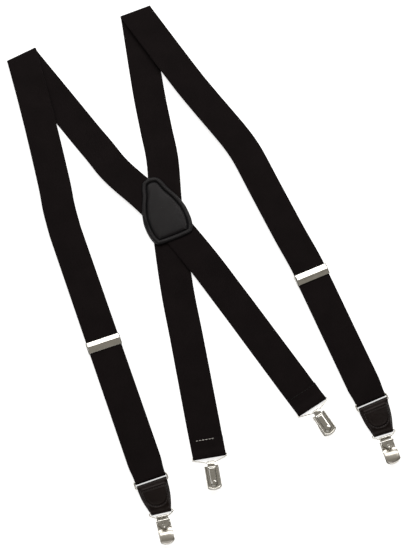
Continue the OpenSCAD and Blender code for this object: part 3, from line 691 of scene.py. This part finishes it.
for side in SIDES:
    low, high, length = tab_line(side)
    end_r, ring_r = TAB_END_Z - LEATHER_T / 2, BEND_Z - LEATHER_T / 2
    # The strip's middle from one turned end to the other, as y up the tab and z
    a = np.radians(np.linspace(-90, 90, 13))[1:-1]
    b = np.radians(np.linspace(90, 270, 11))[1:-1]
    face_y = np.linspace(length, 0, 66)
    face_z = TAB_END_Z + end_r + (BEND_Z + ring_r - TAB_END_Z - end_r) * smooth((face_y - 3) / (length - 7))
    y = np.concatenate([np.linspace(length - TAB_TURNED[1], length, 8), length + ring_r * np.cos(a), face_y,
                        end_r * np.cos(b), np.linspace(0, TAB_TURNED[0], 7)])
    z = np.concatenate([np.full(8, LEATHER_T / 2), BEND_Z + ring_r * np.sin(a), face_z,
                        TAB_END_Z + end_r * np.sin(b), np.full(7, LEATHER_T / 2)])
    travel = unit(np.gradient(np.stack([y, z], axis=1), axis=0))
    half = tab_half(y, length)
    x, h, f, round_edge = ribbon_outline(half, LEATHER_T, 45, 0.5)
    on_face = np.zeros(len(y))
    on_face[19:19 + len(face_y)] = 1
    out = np.where(np.sin(round_edge) > -0.01, 1.0, 0.0)
    # The face's edges turn down to the backing; its outside also carries the padding and the grooves
    window = (smooth((y - 1) / 3) * smooth((length - 1 - y) / 3) * on_face)[:, None]
    drop = (z - LEATHER_T * 1.55)[:, None] * window * smooth((np.abs(f) - 0.80) / 0.2)
    rise = tab_relief(x, y[:, None], half[:, None], length) * on_face[:, None] * out - drop
    # Upwards of the strip's travel is inwards on the face, because the strip is turned over there
    yy = y[:, None] + travel[:, 1:2] * h
    zz = z[:, None] - travel[:, 0:1] * h + rise
    rings = tab_plan(side, x, yy)
    rings[..., 2] = zz
    tab = mesh_piece(f"{side}_tab_leather", rings[:, ::-1], tube_faces(*x.shape), sharp=70)
    tab.data.materials.append(tab_leather)
    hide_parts(f"{side}_tab_face", f"{side}_tab_padding")
    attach(tab, f"{side}_tab")

    y = np.linspace(TAB_TURNED[0] + 0.15, length - TAB_TURNED[1] - 0.15, 20)
    x, h, _, _ = ribbon_outline(tab_half(y, length) - 0.3, LEATHER_T - 0.1, 15, 0.4)
    rings = tab_plan(side, x, np.broadcast_to(y[:, None], x.shape))
    rings[..., 2] = LEATHER_T / 2 + h
    tab_back = mesh_piece(f"{side}_tab_backing_leather", rings[:, ::-1], tube_faces(*x.shape), sharp=70)
    tab_back.data.materials.append(back_leather)
    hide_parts(f"{side}_tab_backing")
    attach(tab_back, f"{side}_tab")

    # Sewn rows, laid in the bottom of their grooves
    theta = np.linspace(0, np.pi, 90)
    ux = SEAM_HALF * np.sign(np.cos(theta)) * np.abs(np.cos(theta)) ** (2 / SEAM_POWER)
    uy = length - SEAM_TOP - SEAM_SHARE * length * np.sin(theta) ** (2 / SEAM_POWER)
    rows = {"u": (ux, uy), "cross": (np.linspace(-SEAM_HALF, SEAM_HALF, 30), np.full(30, length - SEAM_TOP))}
    for row_name, (sx, sy) in rows.items():
        line = tab_plan(side, sx, sy)
        base = np.interp(sy, face_y[::-1], face_z[::-1]) + LEATHER_T / 2
        line[:, 2] = base + tab_relief(sx, sy, tab_half(sy, length), length) + 0.06
        sewing = stitches(f"{side}_tab_{row_name}_stitches", line, 2.3, 1.8, 0.18, tab_thread)
        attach(sewing, f"{side}_tab")

# ---- Nickel wire: rings and clip loops ----
# Round steel wire, bent to shape and butted, then nickel plated. The rectangular rings join straps to
# tabs, and a flat six-sided loop joins each clip to its tab or hem.


def metal_group():
    """Wear on plated metal: fine scratches and soft cloudiness. Gives Height and Cloud."""
    group = bpy.data.node_groups.new("plating_wear", "ShaderNodeTree")
    group.interface.new_socket("Vector", in_out="INPUT", socket_type="NodeSocketVector")
    group.interface.new_socket("Height", in_out="OUTPUT", socket_type="NodeSocketFloat")
    group.interface.new_socket("Cloud", in_out="OUTPUT", socket_type="NodeSocketFloat")
    source = node(group, "NodeGroupInput")
    stretched = node(group, "ShaderNodeMapping", {"Vector": source.outputs[0], "Scale": (1.0, 0.12, 1.0)})
    scratch = node(group, "ShaderNodeTexNoise", {"Vector": stretched.outputs[0], "Scale": 5200.0,
                                                 "Detail": 4.0})
    cloud = node(group, "ShaderNodeTexNoise", {"Vector": source.outputs[0], "Scale": 240.0, "Detail": 5.0})
    node(group, "NodeGroupOutput", {0: scratch.outputs["Fac"], 1: cloud.outputs["Fac"]})
    return group


plating_wear = metal_group()


def metal_material(name, dark, light, smoothest, roughest, depth):
    """Plated metal: its colour and roughness drift with the cloudiness, and scratches lift its surface."""
    made, tree, shader = material(name, light, smoothest, Metallic=1.0)
    place = node(tree, "ShaderNodeTexCoord")
    wear = node(tree, "ShaderNodeGroup", node_tree=plating_wear)
    tree.links.new(place.outputs["Object"], wear.inputs[0])
    bump = node(tree, "ShaderNodeBump", {"Height": wear.outputs[0], "Distance": depth, "Strength": 0.5})
    tree.links.new(bump.outputs[0], shader.inputs["Normal"])
    rough = node(tree, "ShaderNodeMapRange", {0: wear.outputs[1], 1: 0.3, 2: 0.7, 3: smoothest, 4: roughest})
    tree.links.new(rough.outputs[0], shader.inputs["Roughness"])
    ramp = node(tree, "ShaderNodeValToRGB", {0: wear.outputs[1]})
    ramp.color_ramp.elements[0].position = 0.35
    ramp.color_ramp.elements[0].color = (*light, 1)
    ramp.color_ramp.elements[1].position = 0.75
    ramp.color_ramp.elements[1].color = (*dark, 1)
    tree.links.new(ramp.outputs[0], shader.inputs["Base Color"])
    return made


bright_nickel = metal_material("bright_nickel", (0.70, 0.68, 0.63), (0.82, 0.80, 0.76), 0.10, 0.2, 0.00001)
satin_nickel = metal_material("satin_nickel", (0.62, 0.585, 0.53), (0.76, 0.725, 0.66), 0.26, 0.36, 0.00003)
pressed_steel = metal_material("pressed_steel", (0.42, 0.41, 0.39), (0.56, 0.55, 0.52), 0.24, 0.4, 0.00003)

CLIPS = ("left_front", "right_front", "left_back", "right_back")
RING_W = 33.5
RING_WIRE = 1.8
CLIP_WIRE = 1.2
HEM_Z = WEB_T + HEM_WIRE_R
BARREL_Z = 2.45
CLIP_H = 7.6
CLIP_WIRE_DEPTH = {True: 5.0, False: 7.0}
CLIP_WIRE_HALF = {True: 11.25, False: 16.5}
CLIP_WIRE_SIDE = {True: 2.0, False: 2.6}
CLIP_WIRE_LOW = {True: 6.6, False: 4.4}


def bent_wire(corners, radius, bend):
    """Round wire along a closed loop in the XY plane, anticlockwise. At each corner it follows an arc of
    radius `bend` that meets both sides; each ring of points stands square to the wire."""
    P = np.array(corners, float)
    ahead = unit(np.roll(P, -1, axis=0) - P)
    behind = np.roll(ahead, 1, axis=0)
    turn = np.arctan2(behind[:, 0] * ahead[:, 1] - behind[:, 1] * ahead[:, 0], (ahead * behind).sum(axis=1))
    left = np.stack([-behind[:, 1], behind[:, 0]], axis=1)
    middle = P - behind * (bend * np.tan(turn / 2))[:, None] + bend * left
    heading = np.arctan2(behind[:, 1], behind[:, 0])[:, None] + turn[:, None] * np.linspace(0, 1, 8)
    out = np.stack([np.sin(heading), -np.cos(heading)], axis=-1)
    line = (middle[:, None] + bend * out).reshape(-1, 2)
    out = out.reshape(-1, 2)
    a = np.linspace(0, 2 * np.pi, 16, endpoint=False)
    rings = np.empty((len(line), 16, 3))
    rings[..., :2] = line[:, None] + radius * np.cos(a)[None, :, None] * -out[:, None]
    rings[..., 2] = radius * np.sin(a)
    return rings


def clip_is_front(clip):
    """Whether a clip hangs from a tab. The others hang from the back hems and lie face down."""
    return clip.endswith("front")


def clip_end(clip):
    """Frame of the clip's upper wire bar: its tab's end, or its strap's hem."""
    side = clip.split("_")[0]
    return TAB_END[side] if clip_is_front(clip) else BACK_END[side]


for side in SIDES:
    x, y = (RING_W - RING_WIRE) / 2, RING_PITCH / 2
    rings = bent_wire([(-x, -y), (x, -y), (x, y), (-x, y)], RING_WIRE / 2, 1.2)
    ring_wire = mesh_piece(f"{side}_ring_wire",
                           placed(RING[side], rings[..., 0], rings[..., 1], rings[..., 2] + BEND_Z),
                           tube_faces(rings.shape[0], rings.shape[1], closed=True))
    ring_wire.data.materials.append(bright_nickel)
    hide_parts(f"{side}_ring")
    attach(ring_wire, f"{side}_ring")

for clip in CLIPS:
    front = clip_is_front(clip)
    upper = TAB_END_Z if front else HEM_Z
    rise = (BARREL_Z if front else CLIP_H - BARREL_Z) - upper
    depth, half, flank, low = (of[front] for of in (CLIP_WIRE_DEPTH, CLIP_WIRE_HALF, CLIP_WIRE_SIDE,
                                                    CLIP_WIRE_LOW))
    slope = math.hypot(depth, rise)
    rings = bent_wire([(-low, -slope), (low, -slope), (half, -flank), (half, 0), (-half, 0), (-half, -flank)],
                      CLIP_WIRE / 2, 1.0)
    y = rings[..., 1] * depth / slope + rings[..., 2] * rise / slope
    z = rings[..., 2] * depth / slope - rings[..., 1] * rise / slope + upper
    loop = mesh_piece(f"{clip}_wire_loop", placed(clip_end(clip), rings[..., 0], y, z),
                      tube_faces(rings.shape[0], rings.shape[1], closed=True))
    loop.data.materials.append(bright_nickel)
    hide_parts(f"{clip}_clip_wire")
    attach(loop, f"{clip}_wire")

# ---- Adjusters ----
# Each adjuster is a pressed steel body that the strap runs through, with a bright roof-shaped lever
# hinged at its upper edge. The lever is folded from sheet, curled round its pin, and toothed inside.

LEVER_HALF = 16.1
LEVER_ROUND = 1.3
# Closed outline of the lever's section, y and z, for a ridge at y = 0
LEVER_TOP = [(4.95, 6.05), (4.7, 6.72), (3.9, 7.02), (2.2, 7.22)]
RIDGE = [(0.75, 7.42), (0.0, 7.48), (-0.7, 7.33)]
LEVER_FOOT = [(-3.2, 6.63), (-5.5, 6.0), (-5.95, 5.65), (-5.75, 5.2), (-5.3, 5.25), (-2.8, 5.95)]
LEVER_INSIDE = [(0.0, 6.6), (2.4, 6.3), (3.0, 5.6), (3.9, 5.06), (4.65, 5.35)]
RIDGE_Y = {"left": 0.0, "right": -0.9}
SECTION_MIDDLE = (-0.3, 6.2)
END_SHRINK = 0.16
TEETH = 13
TOOTH_PITCH = 2.3


def steel_finish(cad_node):
    """Pressed steel on a CAD node that is shown as it is."""
    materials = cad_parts[cad_node].data.materials
    materials.clear()
    materials.append(pressed_steel)


for side in SIDES:
    section = (LEVER_TOP + [(y + RIDGE_Y[side], z) for y, z in RIDGE] + LEVER_FOOT
               + [(y + (RIDGE_Y[side] if k == 0 else 0), z) for k, (y, z) in enumerate(LEVER_INSIDE)])
    section = curve_through(section, 5, closed=True)
    ends = LEVER_ROUND * (1 - np.cos(np.radians(np.linspace(0, 84, 8))))
    flat = np.linspace(-LEVER_HALF + LEVER_ROUND, LEVER_HALF - LEVER_ROUND, 24)
    x = np.concatenate([-LEVER_HALF + LEVER_ROUND * (1 - np.sin(np.radians(np.linspace(84, 12, 8)))), flat,
                        LEVER_HALF - LEVER_ROUND * (1 - np.sin(np.radians(np.linspace(12, 84, 8))))])
    # Over its last stretch each end shrinks towards the section's middle by a quarter of a circle
    past = np.clip((np.abs(x) - LEVER_HALF + LEVER_ROUND) / LEVER_ROUND, 0, 1)
    keep = 1 - END_SHRINK * (1 - np.sqrt(1 - past**2))
    middle = np.array(SECTION_MIDDLE)
    yz = middle + (section - middle) * keep[:, None, None]
    at = ADJUSTER_AT[side]
    rings = placed(RING[side], np.broadcast_to(x[:, None], yz.shape[:2]), at + yz[..., 0], yz[..., 1])
    lever = mesh_piece(f"{side}_adjuster_cover", rings, tube_faces(*yz.shape[:2]), sharp=50)
    lever.data.materials.append(bright_nickel)
    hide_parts(f"{side}_adjuster_lever")
    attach(lever, f"{side}_adjuster_lever")

    # Teeth: a row of wedges pressed down from the curl, which bite the strap when the lever is shut
    k = np.arange(TEETH) - (TEETH - 1) / 2
    wedge = np.array([(-0.75, 2.6, 5.75), (0.75, 2.6, 5.75), (0.0, 2.75, 5.02),
                      (-0.75, 3.3, 5.75), (0.75, 3.3, 5.75), (0.0, 3.15, 5.02)])
    points = wedge[None] + np.stack([TOOTH_PITCH * k, 0 * k, 0 * k], axis=1)[:, None]
    faces = [[q + 6 * n for q in f] for n in range(TEETH)
             for f in ((0, 2, 1), (3, 4, 5), (0, 1, 4, 3), (0, 3, 5, 2), (1, 2, 5, 4))]
    teeth = mesh_piece(f"{side}_adjuster_teeth",
                       placed(RING[side], points[..., 0], at + points[..., 1], points[..., 2]), faces)
    teeth.data.materials.append(pressed_steel)
    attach(teeth, f"{side}_adjuster_lever")

    steel_finish(f"{side}_adjuster_frame")
    steel_finish(f"{side}_adjuster_pin")

# ---- Clips ----
# Pressed and nickel-plated steel. The base has a barrel round the wire, two ears, turned edges and an
# embossed back. The spoon-shaped jaw hinges between the ears and carries a nylon grip, and a pointed
# lever with a keyhole shuts it.

CLIP_LENGTH = 26.4
TONGUE_R = 9.5
JAW_HALF = 7.0
BASE_HALF = 6.7
BASE_TOP = 1.8 - BARREL_Z
STEEL_T = 0.8
EAR_X = 5.3
LEVER_Y = -4.6
LEVER_Z = CLIP_H - BARREL_Z - 1.4
HINGE_Y = -8.6
HINGE_Z = 0.6
STUD_R = 0.7
BARREL_R = 1.4
BOSS_Y = -19.8
KEYHOLE_Y = -7.6
KEYHOLE_R = 1.15
SLOT_LENGTH = 2.6
GRIP_HALF = 4.8
GRIP_TIP = -23.1
GROOVE = 1.82


def at_clip(clip, points):
    """Points of the clip's own frame (its wire bar at the origin, its tip towards -Y, its lever
    towards +Z) moved to the clip's place. Back clips are turned half round about Y."""
    x, y, z = points[..., 0], points[..., 1], points[..., 2]
    depth = CLIP_WIRE_DEPTH[clip_is_front(clip)]
    if clip_is_front(clip):
        return placed(clip_end(clip), x, y - depth, z + BARREL_Z)
    return placed(clip_end(clip), -x, y - depth, CLIP_H - BARREL_Z - z)


def tongue_half(y, half):
    """Half width of a tongue: straight sides that meet a round tip of radius 9.5 mm."""
    into = np.clip(-CLIP_LENGTH + TONGUE_R - y, 0, TONGUE_R)
    return np.minimum(half, np.sqrt(np.maximum(TONGUE_R**2 - into**2, 0.5)))


def slab(top, bottom):
    """Vertices and faces of a closed slab between two grids of points with the same shape, whose rows
    run towards -Y and whose columns run towards +X."""
    n, m = top.shape[:2]
    i, k = np.meshgrid(np.arange(n - 1), np.arange(m - 1), indexing="ij")
    a = (i * m + k).ravel()
    upper = np.stack([a, a + m, a + m + 1, a + 1], axis=1)
    lower = upper[:, ::-1] + n * m
    rim = np.concatenate([np.arange(m), np.arange(1, n) * m + m - 1, (n - 1) * m + np.arange(m - 2, -1, -1),
                          np.arange(n - 2, 0, -1) * m])
    nxt = np.roll(rim, -1)
    wall = np.stack([rim, nxt, nxt + n * m, rim + n * m], axis=1)
    vertices = np.concatenate([top.reshape(-1, 3), bottom.reshape(-1, 3)])
    return vertices, np.vstack([upper, lower, wall]).tolist()


def prism(outline, x0, x1):
    """Vertices and faces of an outline in Y and Z, extruded along X. The outline runs anticlockwise
    as seen from +X."""
    P = np.array(outline, float)
    n = len(P)
    rings = np.stack([np.column_stack([np.full(n, x), P]) for x in (x0, x1)])
    return rings.reshape(-1, 3), tube_faces(2, n)


def bar(r, x0, x1, y, z, inner=0.0, sides=32):
    """Vertices and faces of a round bar along X, or of a tube where inner is more than 0."""
    a = np.linspace(0, 2 * np.pi, sides, endpoint=False)
    loop = [(r, x0), (r, x1)] if inner == 0 else [(r, x0), (r, x1), (inner, x1), (inner, x0)]
    rings = np.stack([np.column_stack([np.full(sides, x), y + q * np.cos(a), z + q * np.sin(a)])
                      for q, x in loop])
    return rings.reshape(-1, 3), tube_faces(len(loop), sides, closed=inner > 0)


def joined(name, parts, sharp=35, bevel=0.12):
    """One object from several closed shells, with its sharp edges rounded."""
    vertices, faces, first = [], [], 0
    for v, f in parts:
        vertices.append(v)
        faces += [[q + first for q in face] for face in f]
        first += len(v)
    piece = mesh_piece(name, np.concatenate(vertices), faces, sharp=180)
    rounding = piece.modifiers.new("rounded_edges", "BEVEL")
    rounding.width = bevel * MM
    rounding.segments = 2
    rounding.angle_limit = math.radians(sharp)
    rounding.harden_normals = False
    return piece


def jaw_parts(_):
    """The jaw: a spoon whose height follows a curve along it and falls by the fourth power across it."""
    y = np.concatenate([np.linspace(-7.4, -11.0, 5), np.linspace(-11.4, -20, 14),
                        -20 - 6.35 * np.sin(np.radians(np.linspace(6, 90, 16)))])
    ys = [-26.6, -25.9, -24.6, -22.6, -20, -17.6, -15.8, -13.2, -11.8, -7.3]
    top_z = np.interp(y, ys, [1.2, 2.6, 3.9, 4.56, 4.6, 4.5, 3.8, 2.25, 1.9, 1.9])
    kernel = np.array([1, 2, 3, 2, 1]) / 9
    top_z = np.convolve(np.pad(top_z, 2, mode="edge"), kernel, mode="valid")
    half = np.minimum(tongue_half(y, JAW_HALF), EAR_X - 0.2 + 1.7 * smooth((-11.1 - y) / 2.2))
    u = np.sin(np.linspace(-np.pi / 2, np.pi / 2, 25))
    x = half[:, None] * u
    crown = 0.75 * smooth((-10 - y) / 6)[:, None] * np.abs(u) ** 4
    top = np.stack([x, np.broadcast_to(y[:, None], x.shape), top_z[:, None] - crown], axis=-1)
    bottom = top * [0.965, 1, 1] - [0, 0, STEEL_T]
    parts = [slab(top, bottom)]
    neck = EAR_X - 0.2
    flange = [(-7.4, 1.9), (-7.4, HINGE_Z - 0.4), (-8.0, HINGE_Z - 0.9), (-9.4, HINGE_Z - 0.9), (-12.6, 1.0),
              (-13.4, 2.3), (-11.4, 1.7)]
    for sign in (-1, 1):
        xs = sorted((sign * (neck - 0.7), sign * neck))
        parts.append(prism(flange[::-1], *xs))
        xs = sorted((sign * (neck - 0.6), sign * (EAR_X + STEEL_T + 0.05)))
        parts.append(bar(STUD_R, *xs, HINGE_Y, HINGE_Z, sides=20))
    return parts


def base_parts(barrel_half):
    """The base: a tongue with turned-up edges, whose back is embossed with a rim, a raised strip with a
    round end and a boss, and its barrel and two ears."""
    y = np.concatenate([np.linspace(-3.4, -16, 30), -16 - 10.35 * np.sin(np.radians(np.linspace(4, 90, 34)))])
    u = np.sin(np.linspace(-np.pi / 2, np.pi / 2, 61))
    x = tongue_half(y, BASE_HALF)[:, None] * u
    yy = np.broadcast_to(y[:, None], x.shape)
    past = yy + CLIP_LENGTH - TONGUE_R
    from_edge = np.minimum(BASE_HALF - np.abs(x), TONGUE_R - np.hypot(x, np.minimum(past, 0)))
    from_edge = np.where(yy > -CLIP_LENGTH + TONGUE_R, BASE_HALF - np.abs(x), from_edge)
    rim = 1.0 * np.sqrt(np.maximum(1 - ((from_edge - 0.75) / 0.85) ** 2, 0))
    from_strip = np.hypot(x, np.minimum(yy - BOSS_Y, 0)) / 3.5
    strip = 1.25 * np.sqrt(np.maximum(1 - from_strip ** 2.6, 0)) * smooth((-4.4 - yy) / 1.6)
    boss = 0.3 * (1 - smooth((np.hypot(x, yy - BOSS_Y) - 1.3) / 0.8))
    back_z = BASE_TOP - STEEL_T / 2 - np.maximum(rim, np.minimum(strip + boss, 1.4))
    bottom = np.stack([x, yy, back_z], axis=-1)
    top = np.stack([x * 0.98, yy, np.full_like(x, BASE_TOP)], axis=-1)
    parts = [slab(top, bottom), bar(BARREL_R, -barrel_half, barrel_half, 0, 0, inner=CLIP_WIRE / 2 + 0.08)]
    root = [(-3.5, BASE_TOP), (-3.5, BASE_TOP - STEEL_T), (-0.4, -1.39), (-0.7, -1.1), (-1.1, BASE_TOP)]
    parts.append(prism(root, -barrel_half, barrel_half))
    a = np.radians(np.linspace(-10, 150, 9))
    crown = [(LEVER_Y + 1.3 * math.cos(q), LEVER_Z + 1.2 * math.sin(q)) for q in a]
    ear = [(-3.3, BASE_TOP - 0.1)] + crown + [(-6.2, LEVER_Z), (-6.9, 1.9), (HINGE_Y - 1.0, 1.8),
                                              (HINGE_Y - 1.5, 1.3), (HINGE_Y - 2.2, BASE_TOP - 0.1)]
    for sign in (-1, 1):
        parts.append(prism(ear, *sorted((sign * EAR_X, sign * (EAR_X + STEEL_T)))))
    return parts


def lever_parts(_):
    """The lever: a pointed thumb plate that is bent up a little at its point, with a keyhole pressed into
    it (a circle and a slot towards the point), and its curl round the pin."""
    y = np.linspace(-3.5, -12.3, 47)
    half = np.interp(y, [-12.3, -12.1, -11.7, -8.2, -7.6, -7.0, -6.4, -3.0],
                     [0.6, 1.1, 1.6, 5.0, 5.4, 5.4, 5.15, 5.15])
    u = np.linspace(-1, 1, 51)
    x = half[:, None] * u
    above = y[:, None] - KEYHOLE_Y
    down = np.clip(-above, 0, SLOT_LENGTH)
    keyhole = np.minimum(np.hypot(x, above) - KEYHOLE_R, np.hypot(x, above + down) - 0.5)
    lift = 0.25 * smooth((-9 - y) / 4)[:, None] - 0.55 * np.abs(x / 5.9) ** 2.4
    lift = lift - 0.6 * (1 - smooth(keyhole / 0.3 + 0.5))
    z = LEVER_Z + 1.3 - 0.1 * smooth((-4.5 - y) / 3)[:, None] + lift
    yy = np.broadcast_to(y[:, None], x.shape)
    top = np.stack([x, yy, z], axis=-1)
    bottom = np.stack([x, yy, z.min(axis=1)[:, None] - STEEL_T / 4 + 0 * x], axis=-1)
    return [slab(top, bottom),
            bar(BARREL_R, -EAR_X + 0.1, EAR_X - 0.1, LEVER_Y, LEVER_Z, inner=0.65)]


def grip_parts(_):
    """The nylon grip: a ribbed block under the jaw's bow, whose foot has five round grooves."""
    y = np.linspace(GRIP_TIP, -14.6, 73)
    foot = BASE_TOP + 0.15 + 0.45 * np.abs(np.sin(np.pi * (y - GRIP_TIP) / GROOVE)) ** 1.5
    crown = np.interp(y, [GRIP_TIP, -22.4, -20, -17.6, -14.6], [2.7, 3.1, 3.45, 3.3, 1.6])
    outline = list(zip(y, crown))[::-1] + list(zip(y, foot))
    return [prism(outline, -GRIP_HALF, GRIP_HALF)]


nylon, tree, shader = material("black_nylon", (0.018, 0.018, 0.02), 0.45)
place = node(tree, "ShaderNodeTexCoord")
speckle = node(tree, "ShaderNodeTexNoise", {"Vector": place.outputs["Object"], "Scale": 2500.0,
                                            "Detail": 2.0})
bump = node(tree, "ShaderNodeBump", {"Height": speckle.outputs["Fac"], "Distance": 0.00004, "Strength": 0.5})
tree.links.new(bump.outputs[0], shader.inputs["Normal"])

# part: (maker, finish, body's last word, CAD node's last words, slot)
CLIP_PIECES = {
    "base_plate": (base_parts, bright_nickel, "clip", "clip_base", "nickel"),
    "jaw_spoon": (jaw_parts, satin_nickel, "jaw", "clip_jaw", "nickel"),
    "thumb_lever": (lever_parts, bright_nickel, "lever", "clip_lever", "nickel"),
    "grip_pad": (grip_parts, nylon, "jaw", "clip_grip", "nylon"),
}

for clip in CLIPS:
    for name, (make, finish, body, cad_node, slot) in CLIP_PIECES.items():
        parts = [(at_clip(clip, v), f) for v, f in make(CLIP_WIRE_LOW[clip_is_front(clip)] - 1.0)]
        piece = joined(f"{clip}_{name}", parts)
        piece.data.materials.append(finish)
        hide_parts(f"{clip}_{cad_node}")
        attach(piece, f"{clip}_{body}")
    steel_finish(f"{clip}_clip_lever_pin")
